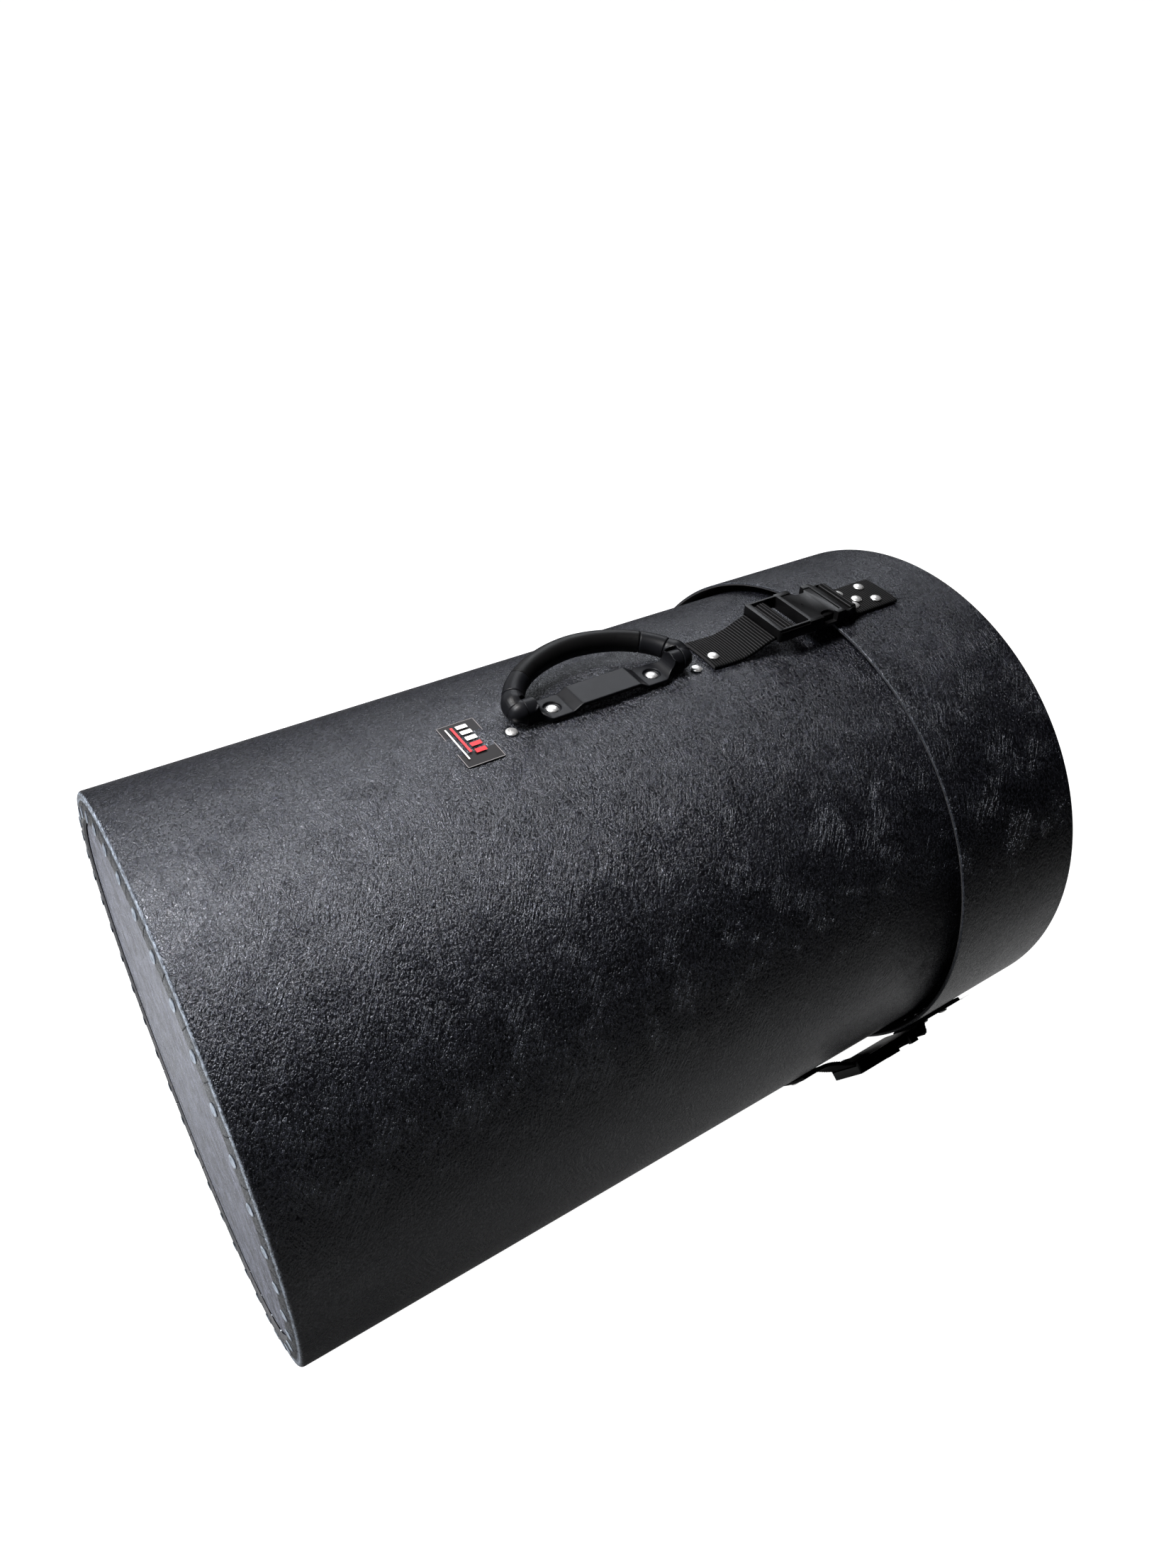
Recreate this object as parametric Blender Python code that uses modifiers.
"""Round fibre drum case lying on its side.

A rolled body with a telescoping lid, three buckled straps and a folding bail handle on top.
Units are metres. +X runs from the base to the lid, +Z goes up through the handle.

The case is modelled in its own axis frame: local X and Y are the radial directions, with X
through the handle, and local Z is the distance from the base crease. A strap's frame is the
same frame turned about Z, so a point in it reads (radius, across the strap, along the case).
"""

import math

import bmesh
import bpy
from mathutils import Matrix, Vector

# Fits
GAP = 0.0003
HOLE_CLEARANCE = 0.0006
PIN_CLEARANCE = 0.0004
CORE_CLEARANCE = 0.0005

# Case
SIDES = 80
TABS = 40
BODY_RADIUS = 0.220
LID_RADIUS = 0.2295
SHEET = 0.0028
CASE_LENGTH = 0.712
LID_RIM = 0.573
BODY_MOUTH = 0.704
CREASE_RADIUS = 0.003
TAB_EDGE_RADIUS = 0.196
TAB_RISE = 0.003
SLIT_WIDTH = 0.0012
LAP_STEPS = 2
LAP_INSET = 0.008
BODY_LAP_ANGLE = -60.75
LID_LAP_ANGLE = -78.75
AXIS_HEIGHT = LID_RADIUS * math.cos(math.pi / SIDES)

# Label
LABEL_START = 0.227
LABEL_LENGTH = 0.030
LABEL_ANGLES = (-5.8, 7.0)
LABEL_THICKNESS = 0.0004

# Handle, centred on the case and hinged on an axis parallel to it
HANDLE_CENTRE = CASE_LENGTH / 2
HINGE_HEIGHT = 0.0092
REST_LIFT = 5.0
BAIL_HALF_LENGTH = 0.074
BAIL_DEPTH = 0.0492
BAIL_POWER = 1.08
BAIL_RADIUS = 0.0086
CORE_RADIUS = 0.0040
GRIP_ANGLE = 48.5
COLLAR_ANGLE = 70.0
CAP_ANGLE = 74.0
CORE_ANGLE = 72.5
CAP_INNER = 0.0705
CAP_OUTER = 0.0820
CAP_RADIUS = 0.0080
CAP_BODY_DEPTH = 0.0125
PIN_RADIUS = 0.0029
PIN_START = 0.0612
PIN_END = 0.0785
PLATE_WIDTH = 0.0250
PLATE_TOP = 0.0038
PLATE_BOTTOM = 0.0008
PLATEAU_TOP = 0.0083
LUG_START = 0.0605
LUG_END = 0.0700
LUG_RADIUS = 0.0080
BRACKET_HOLE = 0.0450
COUNTERBORE_RADIUS = 0.0066
COUNTERBORE_FLOOR = 0.0019
BACKING_HALF_LENGTH = 0.095
BACKING_THICKNESS = 0.0020
BACKING_HOLE = 0.0835
BACKING_HOLE_ANGLE = 1.9

# Rivets
HEAD_RADIUS = 0.0055
HEAD_HEIGHT = 0.0019
SHANK_RADIUS = 0.0019
TAIL_RADIUS = 0.0040
TAIL_HEIGHT = 0.0009
RIVET_SIDES = 8

# Straps
STRAP_ANGLES = (0.0, 120.0, -120.0)
WEBBING_WIDTH = 0.0390
WEBBING_THICKNESS = 0.0026
BODY_WEBBING_START = 0.452
BODY_WEBBING_SKEW = -0.005
BODY_RIVET = (0.459, 0.003)
LID_WEBBING_END = 0.645
LID_RIVETS = ((0.603, 0.010), (0.603, -0.010), (0.612, 0.0035), (0.628, 0.0105),
              (0.628, -0.0105))

# Buckle: radial levels are heights over the body's surface
SOCKET_START = 0.508
SOCKET_MOUTH = 0.580
SOCKET_HALF_WIDTH = 0.0235
SOCKET_BOTTOM = 0.0118
SOCKET_TOP = 0.0226
RAIL_INNER = 0.0205
FRONT_WINDOW = (0.5133, 0.5210)
REAR_WINDOW = (0.5262, 0.5405)
FRONT_BAR_BOTTOM = 0.0155
MIDDLE_BAR_TOP = 0.0190
POCKET_START = 0.544
POCKET_HALF_WIDTH = 0.0190
POCKET_BOTTOM = 0.0144
POCKET_TOP = 0.0200
NOTCH_START = 0.555
NOTCH_END = 0.570
NOTCH_FLOOR = 0.0150
PLUG_START = 0.5804
PLUG_END = 0.5930
PLUG_HALF_WIDTH = 0.0220
PLUG_BOTTOM = 0.0138
PLUG_TOP = 0.0206
PLUG_SLOT = (0.5845, 0.5890)
PLUG_SLOT_HALF_WIDTH = 0.0203
TONGUE_HALF_WIDTH = 0.0035
TONGUE_START = 0.553
PRONG_BOTTOM = 0.0149
PRONG_TOP = 0.0195
PRONG_PIVOT_ACROSS = 0.0135

CASE = bpy.data.collections.new("drum_case")
CUTTERS = bpy.data.collections.new("cutters")


def clear_scene():
    for item in list(bpy.data.objects):
        bpy.data.objects.remove(item, do_unlink=True)
    bpy.context.scene.collection.children.link(CASE)
    bpy.context.scene.collection.children.link(CUTTERS)


def material(name, colour, roughness, metallic=0.0):
    result = bpy.data.materials.new(name)
    result.use_nodes = True
    shader = result.node_tree.nodes["Principled BSDF"]
    shader.inputs["Base Color"].default_value = (*colour, 1.0)
    shader.inputs["Roughness"].default_value = roughness
    shader.inputs["Metallic"].default_value = metallic
    result.diffuse_color = (*colour, 1.0)
    return result


# Object helpers

def empty(name, parent=None, location=(0, 0, 0), rotation=(0, 0, 0)):
    result = bpy.data.objects.new(name, None)
    CASE.objects.link(result)
    result.parent = parent
    result.location = location
    result.rotation_euler = rotation
    return result


def place(name, mesh, parent, finish, location=(0, 0, 0), rotation=(0, 0, 0), sharp=35.0):
    """One sub-part, shaded smooth up to the given edge angle."""
    result = bpy.data.objects.new(name, mesh)
    CASE.objects.link(result)
    result.parent = parent
    result.location = location
    result.rotation_euler = rotation
    if not mesh.materials:
        mesh.materials.append(finish)
    mesh.shade_smooth()
    mesh.set_sharp_from_angle(angle=math.radians(sharp))
    return result


def tool(name, mesh, parent, location=(0, 0, 0), rotation=(0, 0, 0)):
    """A hidden solid that Boolean modifiers read."""
    result = bpy.data.objects.new(name, mesh)
    CUTTERS.objects.link(result)
    result.parent = parent
    result.location = location
    result.rotation_euler = rotation
    result.hide_render = True
    result.display_type = "WIRE"
    return result


def boolean(target, other, operation):
    modifier = target.modifiers.new(operation.lower() + "_" + other.name, "BOOLEAN")
    modifier.operation = operation
    modifier.object = other
    modifier.solver = "EXACT"


def mesh_from_bmesh(name, bm):
    mesh = bpy.data.meshes.new(name)
    bm.to_mesh(mesh)
    bm.free()
    return mesh


def box_mesh(name, low, high):
    size = [b - a for a, b in zip(low, high)]
    centre = [(a + b) / 2 for a, b in zip(low, high)]
    bm = bmesh.new()
    shape = Matrix.Translation(centre) @ Matrix.Diagonal((*size, 1.0))
    bmesh.ops.create_cube(bm, size=1.0, matrix=shape)
    return mesh_from_bmesh(name, bm)


def cylinders_mesh(name, transforms, radius, depth, segments):
    """Cylinders along the local Z of each transform, in one mesh."""
    bm = bmesh.new()
    for transform in transforms:
        bmesh.ops.create_cone(bm, cap_ends=True, segments=segments, radius1=radius,
                              radius2=radius, depth=depth, matrix=transform)
    return mesh_from_bmesh(name, bm)


def mesh_from_curve(name, curve):
    """The curve's closed mesh, with its loose caps welded."""
    holder = bpy.data.objects.new(name + "_curve", curve)
    CASE.objects.link(holder)
    bpy.context.view_layer.update()
    evaluated = holder.evaluated_get(bpy.context.evaluated_depsgraph_get())
    mesh = bpy.data.meshes.new_from_object(evaluated)
    mesh.name = name
    bpy.data.objects.remove(holder, do_unlink=True)
    bm = bmesh.new()
    bm.from_mesh(mesh)
    bmesh.ops.remove_doubles(bm, verts=bm.verts, dist=0.00001)
    bmesh.ops.recalc_face_normals(bm, faces=bm.faces)
    bm.to_mesh(mesh)
    bm.free()
    return mesh


def prism_mesh(name, outline, low, high):
    """A flat outline in local X and Y, extruded along local Z from low to high."""
    curve = bpy.data.curves.new(name, "CURVE")
    curve.dimensions = "2D"
    curve.fill_mode = "BOTH"
    curve.extrude = (high - low) / 2
    spline = curve.splines.new("POLY")
    spline.points.add(len(outline) - 1)
    for point, (x, y) in zip(spline.points, outline):
        point.co = (x, y, 0, 1)
    spline.use_cyclic_u = True
    mesh = mesh_from_curve(name, curve)
    mesh.transform(Matrix.Translation((0, 0, (high + low) / 2)))
    return mesh


def tube_mesh(name, points, radius, resolution):
    curve = bpy.data.curves.new(name, "CURVE")
    curve.dimensions = "3D"
    curve.bevel_depth = radius
    curve.bevel_resolution = resolution
    curve.use_fill_caps = True
    spline = curve.splines.new("POLY")
    spline.points.add(len(points) - 1)
    for point, position in zip(spline.points, points):
        point.co = (*position, 1)
    return mesh_from_curve(name, curve)


def turned(result, steps, degrees=360.0):
    screw = result.modifiers.new("turn", "SCREW")
    screw.axis = "Z"
    screw.angle = math.radians(degrees)
    screw.steps = steps
    screw.render_steps = steps
    screw.use_merge_vertices = True
    screw.merge_threshold = 0.00005
    screw.use_smooth_shade = True
    screw.use_normal_calculate = False


def profile_mesh(name, points):
    """An open line of (radius, height) points in the local XZ plane."""
    bm = bmesh.new()
    corners = [bm.verts.new((radius, 0, height)) for radius, height in points]
    for first, second in zip(corners, corners[1:]):
        bm.edges.new((first, second))
    return mesh_from_bmesh(name, bm)


def ribbon_mesh(name, path, width, skew=0.0):
    """An open strip that follows (radius, along) points, flat across.

    It starts skew to one side of the centre line and ends on it.
    """
    first, last = path[0][1], path[-1][1]
    bm = bmesh.new()
    rows = []
    for radius, along in path:
        middle = skew * (last - along) / (last - first)
        rows.append([bm.verts.new((radius, middle + side * width / 2, along))
                     for side in (-1, 1)])
    for (a, b), (c, d) in zip(rows, rows[1:]):
        bm.faces.new((a, b, d, c))
    return mesh_from_bmesh(name, bm)


def thicken(result, thickness, offset):
    solidify = result.modifiers.new("thickness", "SOLIDIFY")
    solidify.thickness = thickness
    solidify.offset = offset
    solidify.use_even_offset = True


def round_edges(result, width):
    bevel = result.modifiers.new("edges", "BEVEL")
    bevel.width = width
    bevel.segments = 1
    bevel.limit_method = "ANGLE"
    bevel.angle_limit = math.radians(60)


def arc(radius, first, last, count):
    """Points on an arc about the origin, with angles in degrees."""
    result = []
    for index in range(count + 1):
        angle = math.radians(first + (last - first) * index / count)
        result.append((radius * math.cos(angle), radius * math.sin(angle)))
    return result


def radial(angle, along, radius, across=0.0):
    """A transform whose local Z points out of the case, at a place on its wall."""
    turn = Matrix.Rotation(math.radians(angle), 4, "Z")
    return turn @ Matrix.Translation((radius, across, along)) @ Matrix.Rotation(math.pi / 2, 4, "Y")


# Walls and end discs

def end_profile(radius, mouth, crease, outward):
    """Wall line from the open mouth round the crease to the edge of the folded tabs."""
    line = [(radius, mouth)]
    for step in range(3):
        angle = math.radians(45 * step)
        line.append((radius - CREASE_RADIUS * (1 - math.cos(angle)),
                     crease - outward * CREASE_RADIUS * (1 - math.sin(angle))))
    line.append((TAB_EDGE_RADIUS, crease + outward * TAB_RISE))
    return line


def sector(name, inner, outer, centre_angle, steps, low, high):
    """A curved block that keeps step with the facets of the wall."""
    half = steps * 180.0 / SIDES
    first, last = centre_angle - half, centre_angle + half
    outline = arc(outer, first, last, steps) + arc(inner, last, first, steps)
    return prism_mesh(name, outline, low, high)


def slits(name, crease, outward, parent):
    """Thin boxes between the tabs, from the tabs' inner edge to just short of the crease."""
    bm = bmesh.new()
    inner, outer = TAB_EDGE_RADIUS - 0.002, BODY_RADIUS - SHEET - CREASE_RADIUS
    for tab in range(TABS):
        turn = Matrix.Rotation(2 * math.pi * (tab + 0.5) / TABS, 4, "Z")
        centre = Matrix.Translation(((inner + outer) / 2, 0, crease))
        size = Matrix.Diagonal((outer - inner, SLIT_WIDTH, 6 * TAB_RISE, 1))
        bmesh.ops.create_cube(bm, size=1.0, matrix=turn @ centre @ size)
    return tool(name, mesh_from_bmesh(name, bm), parent)


def wall(name, frame, finish, radius, mouth, crease, outward, lap_angle, holes):
    line = end_profile(radius, mouth, crease, outward)
    if outward > 0:
        line.reverse()
    result = place(name, profile_mesh(name, line), frame, finish,
                   rotation=(0, 0, math.pi / SIDES))
    turned(result, SIDES)
    thicken(result, SHEET, -1.0)

    ends = sorted((mouth, crease))
    lap = sector(name + "_lap", radius - SHEET / 2, radius + SHEET, lap_angle, LAP_STEPS,
                 ends[0] + LAP_INSET, ends[1] - LAP_INSET)
    boolean(result, tool(name + "_lap", lap, frame), "UNION")
    boolean(result, slits(name + "_slits", crease, outward, frame), "DIFFERENCE")

    drill = cylinders_mesh(name + "_holes", holes, SHANK_RADIUS + HOLE_CLEARANCE,
                           6 * SHEET, RIVET_SIDES)
    boolean(result, tool(name + "_holes", drill, frame), "DIFFERENCE")


def end_disc(name, frame, finish, wall_radius, crease, outward):
    """A shallow dish behind the folded tabs, following their slope."""
    slope = TAB_RISE / (wall_radius - CREASE_RADIUS - TAB_EDGE_RADIUS)
    rim = wall_radius - SHEET - 0.0012
    flat = TAB_EDGE_RADIUS - 0.002
    face = crease + outward * (TAB_RISE - SHEET - GAP)
    edge = face - outward * slope * (rim - flat) - outward * 0.0002
    front = [(0, face), (flat, face), (rim, edge)]
    back = [(rim, edge - outward * SHEET), (flat, face - outward * SHEET),
            (0, face - outward * SHEET)]
    line = front + back
    if outward < 0:
        line.reverse()
    result = place(name, profile_mesh(name, line), frame, finish,
                   rotation=(0, 0, math.pi / SIDES))
    turned(result, SIDES)


# Rivets

def rivet_mesh(name, grip):
    """A domed head above local Z = 0, its shank, and a clenched tail past the grip."""
    line = [(0, HEAD_HEIGHT), (0.62 * HEAD_RADIUS, 0.78 * HEAD_HEIGHT), (HEAD_RADIUS, 0.0002),
            (HEAD_RADIUS, 0), (SHANK_RADIUS, 0), (SHANK_RADIUS, -grip), (TAIL_RADIUS, -grip),
            (TAIL_RADIUS, -grip - TAIL_HEIGHT), (0, -grip - TAIL_HEIGHT)]
    return profile_mesh(name, line)


def rivet(name, frame, finish, angle, along, across, head_radius, tail_radius):
    """A rivet whose head sits at one radius and whose tail sits inside, at another."""
    result = place(name, rivet_mesh(name, head_radius - tail_radius), frame, finish)
    result.matrix_local = radial(angle, along, head_radius, across)
    turned(result, RIVET_SIDES)


# Handle

def bail_point(angle):
    """A point on the bail's centre line, an arch a little slimmer than an ellipse.

    Angle 0 is the middle of the grip.
    """
    turn = math.radians(angle)
    depth = BAIL_DEPTH * math.cos(turn) ** BAIL_POWER
    along = BAIL_HALF_LENGTH * math.copysign(abs(math.sin(turn)) ** BAIL_POWER, angle)
    return Vector((0, -depth, along))


def bail_line(first, last, count):
    """Points along the bail, with a short step at each end that squares the end faces."""
    step = math.copysign(1.0, last - first)
    start, end = first + step, last - step
    middle = [start + (end - start) * index / count for index in range(count + 1)]
    return [bail_point(angle) for angle in [first] + middle + [last]]


def degrees_for(gap, angle):
    """The change of bail angle that moves a point by gap along the line."""
    near, far = bail_point(angle), bail_point(angle + 1)
    return gap / (far - near).length


def handle_core(frame, finish):
    mesh = tube_mesh("handle_core", bail_line(-CORE_ANGLE, CORE_ANGLE, 22), CORE_RADIUS, 2)
    place("handle_core", mesh, frame, finish)


def sleeve(name, frame, finish, first, last, count):
    """A length of the bail's outer skin, bored for the core."""
    mesh = tube_mesh(name, bail_line(first, last, count), BAIL_RADIUS, 4)
    result = place(name, mesh, frame, finish)
    bore = tube_mesh(name + "_bore", bail_line(first - 5, last + 5, count + 2),
                     CORE_RADIUS + CORE_CLEARANCE, 2)
    boolean(result, tool(name + "_bore", bore, frame), "DIFFERENCE")


def handle_cap(name, frame, finish, side):
    """The knuckle at one end: a disc about the pin, joined to a stub on the bail's line."""
    low, high = sorted((side * CAP_INNER, side * CAP_OUTER))
    disc = Matrix.Translation((0, 0, (low + high) / 2))
    knuckle = cylinders_mesh(name, [disc], CAP_RADIUS, high - low, 16)
    result = place(name, knuckle, frame, finish)

    leg = box_mesh(name + "_leg", (-CAP_RADIUS * 0.98, -CAP_BODY_DEPTH, low + 0.0001),
                   (CAP_RADIUS * 0.98, 0, high - 0.0001))
    boolean(result, tool(name + "_leg", leg, frame), "UNION")

    stub = tube_mesh(name + "_stub", bail_line(side * COLLAR_ANGLE, side * CAP_ANGLE, 2),
                     BAIL_RADIUS, 4)
    boolean(result, tool(name + "_stub", stub, frame), "UNION")

    socket = tube_mesh(name + "_bore", bail_line(side * 66, side * (CORE_ANGLE + 0.7), 4),
                       CORE_RADIUS + CORE_CLEARANCE, 2)
    boolean(result, tool(name + "_bore", socket, frame), "DIFFERENCE")

    pin_low, pin_high = sorted((side * (CAP_INNER - 0.002), side * (PIN_END + GAP)))
    hole = cylinders_mesh(name + "_pin_hole", [Matrix.Translation((0, 0, (pin_low + pin_high) / 2))],
                          PIN_RADIUS + PIN_CLEARANCE, pin_high - pin_low, 10)
    boolean(result, tool(name + "_pin_hole", hole, frame), "DIFFERENCE")


def handle_pin(name, frame, finish, side):
    middle = side * (PIN_START + PIN_END) / 2
    mesh = cylinders_mesh(name, [Matrix.Translation((0, 0, middle))], PIN_RADIUS,
                          PIN_END - PIN_START, 10)
    place(name, mesh, frame, finish)


def mirrored(half):
    """A closed outline from its half on the positive side of the first coordinate."""
    return half + [(-along, height) for along, height in reversed(half)]


def handle_bracket(frame, finish):
    """Bent plate with a raised middle and a pivot lug at each end, in heights over the wall."""
    half = [(0.0255, PLATEAU_TOP), (0.0335, PLATE_TOP), (LUG_START + 0.001, PLATE_TOP),
            (LUG_START + 0.001, PLATE_BOTTOM), (0.0322, PLATE_BOTTOM),
            (0.0243, PLATEAU_TOP - 0.003)]
    side_view = Matrix(((0, 1, 0), (0, 0, 1), (1, 0, 0))).to_euler()
    plate = prism_mesh("handle_bracket", mirrored(half), -PLATE_WIDTH / 2, PLATE_WIDTH / 2)
    result = place("handle_bracket", plate, frame, finish, rotation=side_view)

    for side in (-1, 1):
        name = "bracket_lug_" + str(side)
        top = [(y + HINGE_HEIGHT, x) for x, y in arc(LUG_RADIUS, 0, 180, 8)]
        foot = [(PLATE_BOTTOM, -LUG_RADIUS), (PLATE_BOTTOM, LUG_RADIUS)]
        low, high = sorted((side * LUG_START, side * LUG_END))
        lug = prism_mesh(name, top + foot, low, high)
        boolean(result, tool(name, lug, frame), "UNION")

        scoop = [(0.0530, 0.0030), (0.0530, PLATE_TOP), (0.0565, 0.0046), (0.0590, 0.0068),
                 (0.0602, 0.0100), (LUG_START + 0.0008, 0.0140), (LUG_START + 0.0008, 0.0030)]
        outline = [(side * along, height) for along, height in scoop]
        curl = prism_mesh(name + "_scoop", outline, -LUG_RADIUS * 0.98, LUG_RADIUS * 0.98)
        boolean(result, tool(name + "_scoop", curl, frame, rotation=side_view), "UNION")

    bores = [Matrix.Translation((HINGE_HEIGHT, 0, side * LUG_END)) for side in (-1, 1)]
    pin_holes = cylinders_mesh("lug_bores", bores, PIN_RADIUS + PIN_CLEARANCE, 0.03, 10)
    boolean(result, tool("lug_bores", pin_holes, frame), "DIFFERENCE")

    upright = Matrix.Rotation(math.pi / 2, 4, "Y")
    sinks = [Matrix.Translation((COUNTERBORE_FLOOR + 0.005, 0, side * BRACKET_HOLE)) @ upright
             for side in (-1, 1)]
    counterbores = cylinders_mesh("counterbores", sinks, COUNTERBORE_RADIUS, 0.01, 12)
    boolean(result, tool("counterbores", counterbores, frame), "DIFFERENCE")
    drills = cylinders_mesh("bracket_holes", sinks, SHANK_RADIUS + HOLE_CLEARANCE, 0.03,
                            RIVET_SIDES)
    boolean(result, tool("bracket_holes", drills, frame), "DIFFERENCE")


def backing_plate(axis, finish):
    """Curved plate inside the wall that carries the handle's rivets."""
    outer = BODY_RADIUS - SHEET - GAP
    mesh = sector("backing_plate", outer - BACKING_THICKNESS, outer, 0, 3,
                  HANDLE_CENTRE - BACKING_HALF_LENGTH, HANDLE_CENTRE + BACKING_HALF_LENGTH)
    result = place("backing_plate", mesh, axis, finish)
    drill = cylinders_mesh("backing_holes", handle_rivet_places(), SHANK_RADIUS + HOLE_CLEARANCE,
                           6 * SHEET, RIVET_SIDES)
    boolean(result, tool("backing_holes", drill, axis), "DIFFERENCE")


def handle_rivet_places():
    places = [radial(0, HANDLE_CENTRE + side * BRACKET_HOLE, BODY_RADIUS) for side in (-1, 1)]
    places += [radial(BACKING_HOLE_ANGLE, HANDLE_CENTRE + side * BACKING_HOLE, BODY_RADIUS)
               for side in (-1, 1)]
    return places


def handle_rivets(axis, finish):
    tail = BODY_RADIUS - SHEET - BACKING_THICKNESS - 3 * GAP
    for number, side in enumerate((-1, 1), start=1):
        rivet("bracket_rivet_" + str(number), axis, finish, 0,
              HANDLE_CENTRE + side * BRACKET_HOLE, 0,
              BODY_RADIUS + COUNTERBORE_FLOOR + GAP, tail)
        rivet("backing_rivet_" + str(number), axis, finish, BACKING_HOLE_ANGLE,
              HANDLE_CENTRE + side * BACKING_HOLE, 0, BODY_RADIUS + GAP, tail)


# Straps and buckles

def body_webbing(name, frame, finish):
    """Doubled webbing from its rivet, up the step and under the socket's outer bar."""
    rest = BODY_RADIUS + GAP + WEBBING_THICKNESS / 2
    path = [(rest, BODY_WEBBING_START), (rest, 0.472), (rest + 0.0010, 0.481),
            (rest + 0.0042, 0.492), (rest + 0.0086, 0.502), (BODY_RADIUS + 0.0128, 0.508),
            (BODY_RADIUS + 0.0134, 0.5145), (BODY_RADIUS + 0.0150, 0.5190)]
    strip = ribbon_mesh(name, path, WEBBING_WIDTH, BODY_WEBBING_SKEW)
    result = place(name, strip, frame, finish)
    thicken(result, WEBBING_THICKNESS, 0.0)
    drill_webbing(result, frame, [BODY_RIVET], BODY_RADIUS)


def lid_webbing(name, frame, finish):
    """Doubled webbing from the plug's rear bar down to the lid, where it is riveted."""
    rest = LID_RADIUS + GAP + WEBBING_THICKNESS / 2
    path = [(BODY_RADIUS + PLUG_BOTTOM + 0.0008, PLUG_END + 0.0013), (rest + 0.0002, 0.5958),
            (rest, 0.5964), (rest, LID_WEBBING_END)]
    result = place(name, ribbon_mesh(name, path, WEBBING_WIDTH), frame, finish)
    thicken(result, WEBBING_THICKNESS, 0.0)
    drill_webbing(result, frame, LID_RIVETS, LID_RADIUS)


def drill_webbing(result, frame, places, radius):
    transforms = [radial(0, along, radius, across) for along, across in places]
    drill = cylinders_mesh(result.name + "_holes", transforms, SHANK_RADIUS + HOLE_CLEARANCE,
                           0.04, RIVET_SIDES)
    boolean(result, tool(result.name + "_holes", drill, frame), "DIFFERENCE")


def cut_box(result, frame, name, low, high):
    """Cuts a box given by (height over the body, across, along) corners."""
    lift = (BODY_RADIUS, 0, 0)
    boolean(result, tool(name, box_mesh(name, low, high), frame, location=lift), "DIFFERENCE")


def buckle_socket(name, frame, finish):
    block = box_mesh(name, (SOCKET_BOTTOM, -SOCKET_HALF_WIDTH, SOCKET_START),
                     (SOCKET_TOP, SOCKET_HALF_WIDTH, SOCKET_MOUTH))
    result = place(name, block, frame, finish, location=(BODY_RADIUS, 0, 0))
    round_edges(result, 0.0010)
    below, above = SOCKET_BOTTOM - 0.002, SOCKET_TOP + 0.002
    for label, (start, end) in (("front", FRONT_WINDOW), ("rear", REAR_WINDOW)):
        cut_box(result, frame, name + "_window_" + label, (below, -RAIL_INNER, start),
                (above, RAIL_INNER, end))
    cut_box(result, frame, name + "_under_bar", (below, -RAIL_INNER, SOCKET_START - 0.002),
            (FRONT_BAR_BOTTOM, RAIL_INNER, FRONT_WINDOW[0] + 0.0007))
    cut_box(result, frame, name + "_over_bar",
            (MIDDLE_BAR_TOP, -RAIL_INNER, FRONT_WINDOW[1] - 0.0005),
            (above, RAIL_INNER, REAR_WINDOW[0] + 0.0008))
    cut_box(result, frame, name + "_pocket", (POCKET_BOTTOM, -POCKET_HALF_WIDTH, POCKET_START),
            (POCKET_TOP, POCKET_HALF_WIDTH, SOCKET_MOUTH + 0.002))
    for label, side in (("left", -1), ("right", 1)):
        across = sorted((side * NOTCH_FLOOR, side * (SOCKET_HALF_WIDTH + 0.002)))
        cut_box(result, frame, name + "_notch_" + label,
                (POCKET_BOTTOM, across[0], NOTCH_START), (above, across[1], NOTCH_END))


def buckle_plug(name, frame, finish):
    block = box_mesh(name, (PLUG_BOTTOM, -PLUG_HALF_WIDTH, PLUG_START),
                     (PLUG_TOP, PLUG_HALF_WIDTH, PLUG_END))
    result = place(name, block, frame, finish, location=(BODY_RADIUS, 0, 0))
    round_edges(result, 0.0008)
    cut_box(result, frame, name + "_slot",
            (PLUG_BOTTOM - 0.002, -PLUG_SLOT_HALF_WIDTH, PLUG_SLOT[0]),
            (PLUG_TOP + 0.002, PLUG_SLOT_HALF_WIDTH, PLUG_SLOT[1]))
    tongue = box_mesh(name + "_tongue", (PRONG_BOTTOM, -TONGUE_HALF_WIDTH, TONGUE_START),
                      (PRONG_TOP, TONGUE_HALF_WIDTH, PLUG_START + 0.002))
    boolean(result, tool(name + "_tongue", tongue, frame, location=(BODY_RADIUS, 0, 0)), "UNION")


def prong(name, frame, finish, side):
    """A springy arm with a barb, pivoting at its root; the outline is (along, across)."""
    root = PLUG_START - GAP
    outline = [(root, 0.0115), (root, 0.0155), (0.5720, 0.0158), (0.5680, 0.0186),
               (0.5600, 0.0186), (0.5530, 0.0166), (0.5500, 0.0140), (0.5520, 0.0118)]
    points = [(along - root, side * (across - PRONG_PIVOT_ACROSS)) for along, across in outline]
    mesh = prism_mesh(name, points, -PRONG_TOP, -PRONG_BOTTOM)
    place(name, mesh, frame, finish, location=(BODY_RADIUS, side * PRONG_PIVOT_ACROSS, root),
          rotation=(0, -math.pi / 2, 0))


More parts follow.
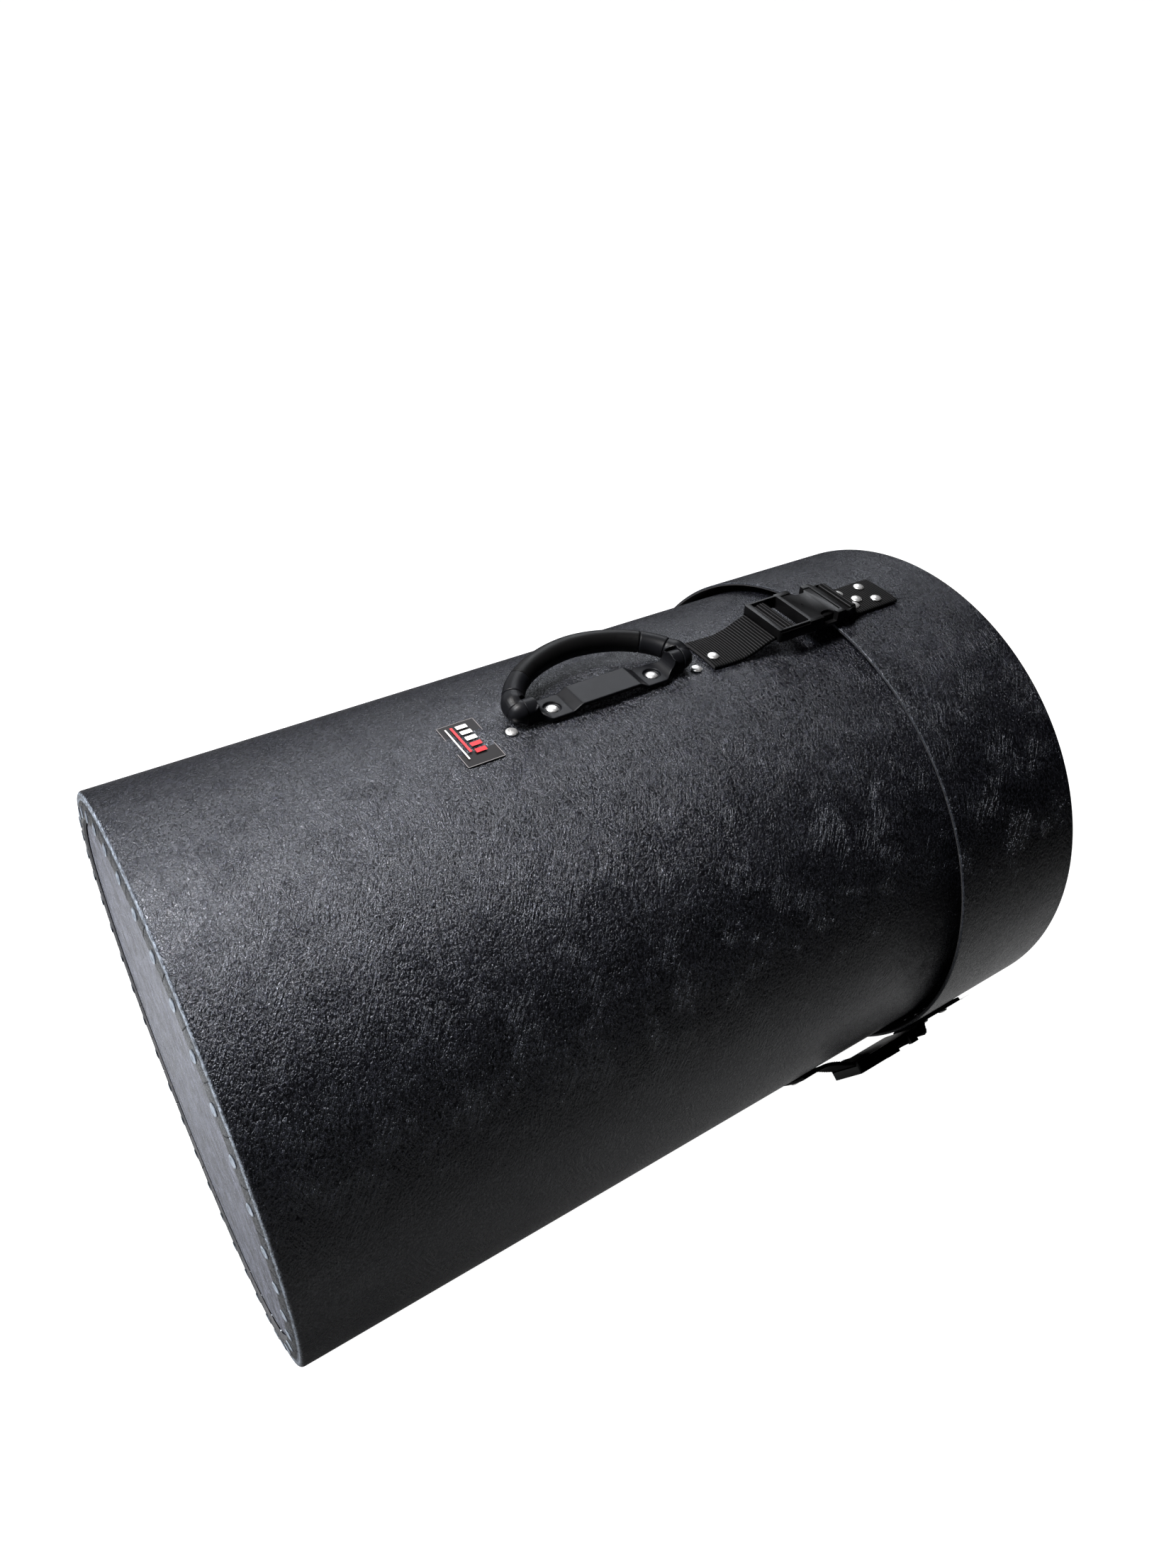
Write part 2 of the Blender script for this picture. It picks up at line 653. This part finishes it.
def strap(number, angle, axis, finishes):
    name = "strap_" + str(number)
    frame = empty(name + "_frame", axis, rotation=(0, 0, math.radians(angle)))
    body_webbing(name + "_body_webbing", frame, finishes["webbing"])
    lid_webbing(name + "_lid_webbing", frame, finishes["webbing"])
    buckle_socket(name + "_buckle_socket", frame, finishes["buckle"])
    buckle_plug(name + "_buckle_plug", frame, finishes["buckle"])
    prong(name + "_prong_left", frame, finishes["buckle"], -1)
    prong(name + "_prong_right", frame, finishes["buckle"], 1)

    over_webbing = WEBBING_THICKNESS + 2 * GAP
    along, across = BODY_RIVET
    rivet(name + "_body_rivet", frame, finishes["rivet"], 0, along, across,
          BODY_RADIUS + over_webbing, BODY_RADIUS - SHEET - 2 * GAP)
    for index, (along, across) in enumerate(LID_RIVETS, start=1):
        rivet(name + "_lid_rivet_" + str(index), frame, finishes["rivet"], 0, along, across,
              LID_RADIUS + over_webbing, LID_RADIUS - SHEET - 2 * GAP)


def strap_holes(places, radius):
    return [radial(angle, along, radius, across)
            for angle in STRAP_ANGLES for along, across in places]


def label(axis, finish):
    first, last = LABEL_ANGLES
    inner = BODY_RADIUS + GAP
    outline = (arc(inner + LABEL_THICKNESS, first, last, 4) + arc(inner, last, first, 4))
    mesh = prism_mesh("label", outline, LABEL_START, LABEL_START + LABEL_LENGTH)
    place("label", mesh, axis, finish)


def build():
    clear_scene()
    finishes = {
        "fibre": material("black_fibre", (0.030, 0.030, 0.034), 0.50),
        "label": material("label_print", (0.015, 0.015, 0.016), 0.35),
        "moulding": material("black_moulding", (0.028, 0.027, 0.029), 0.42),
        "grip": material("grip_rubber", (0.024, 0.023, 0.025), 0.55),
        "buckle": material("black_acetal", (0.030, 0.029, 0.031), 0.48),
        "webbing": material("black_webbing", (0.012, 0.011, 0.012), 0.85),
        "rivet": material("nickel_plate", (0.78, 0.78, 0.79), 0.22, 1.0),
        "steel": material("zinc_steel", (0.45, 0.45, 0.46), 0.38, 1.0),
    }

    sideways = Matrix(((0, 0, 1), (0, -1, 0), (1, 0, 0))).to_euler()
    axis = empty("case_axis", location=(-CASE_LENGTH / 2, 0, AXIS_HEIGHT), rotation=sideways)

    body_holes = strap_holes([BODY_RIVET], BODY_RADIUS) + handle_rivet_places()
    wall("body_wall", axis, finishes["fibre"], BODY_RADIUS, BODY_MOUTH, 0.0, -1,
         BODY_LAP_ANGLE, body_holes)
    wall("lid_wall", axis, finishes["fibre"], LID_RADIUS, LID_RIM, CASE_LENGTH, 1,
         LID_LAP_ANGLE, strap_holes(LID_RIVETS, LID_RADIUS))
    end_disc("base_disc", axis, finishes["fibre"], BODY_RADIUS, 0.0, -1)
    end_disc("lid_disc", axis, finishes["fibre"], LID_RADIUS, CASE_LENGTH, 1)
    label(axis, finishes["label"])

    on_wall = empty("bracket_frame", axis, location=(BODY_RADIUS, 0, HANDLE_CENTRE))
    handle_bracket(on_wall, finishes["moulding"])
    backing_plate(axis, finishes["fibre"])
    handle_rivets(axis, finishes["rivet"])

    hinge = empty("handle_hinge", axis, location=(BODY_RADIUS + HINGE_HEIGHT, 0, HANDLE_CENTRE),
                  rotation=(0, 0, math.radians(REST_LIFT)))
    handle_core(hinge, finishes["steel"])
    seam = degrees_for(GAP, GRIP_ANGLE)
    sleeve("handle_grip", hinge, finishes["grip"], -GRIP_ANGLE, GRIP_ANGLE, 14)
    for number, side in enumerate((-1, 1), start=1):
        ends = sorted((side * (GRIP_ANGLE + seam), side * (COLLAR_ANGLE - seam)))
        sleeve("handle_collar_" + str(number), hinge, finishes["moulding"], *ends, 4)
        handle_cap("handle_cap_" + str(number), hinge, finishes["moulding"], side)
        handle_pin("handle_pin_" + str(number), hinge, finishes["steel"], side)

    for number, angle in enumerate(STRAP_ANGLES, start=1):
        strap(number, angle, axis, finishes)


build()
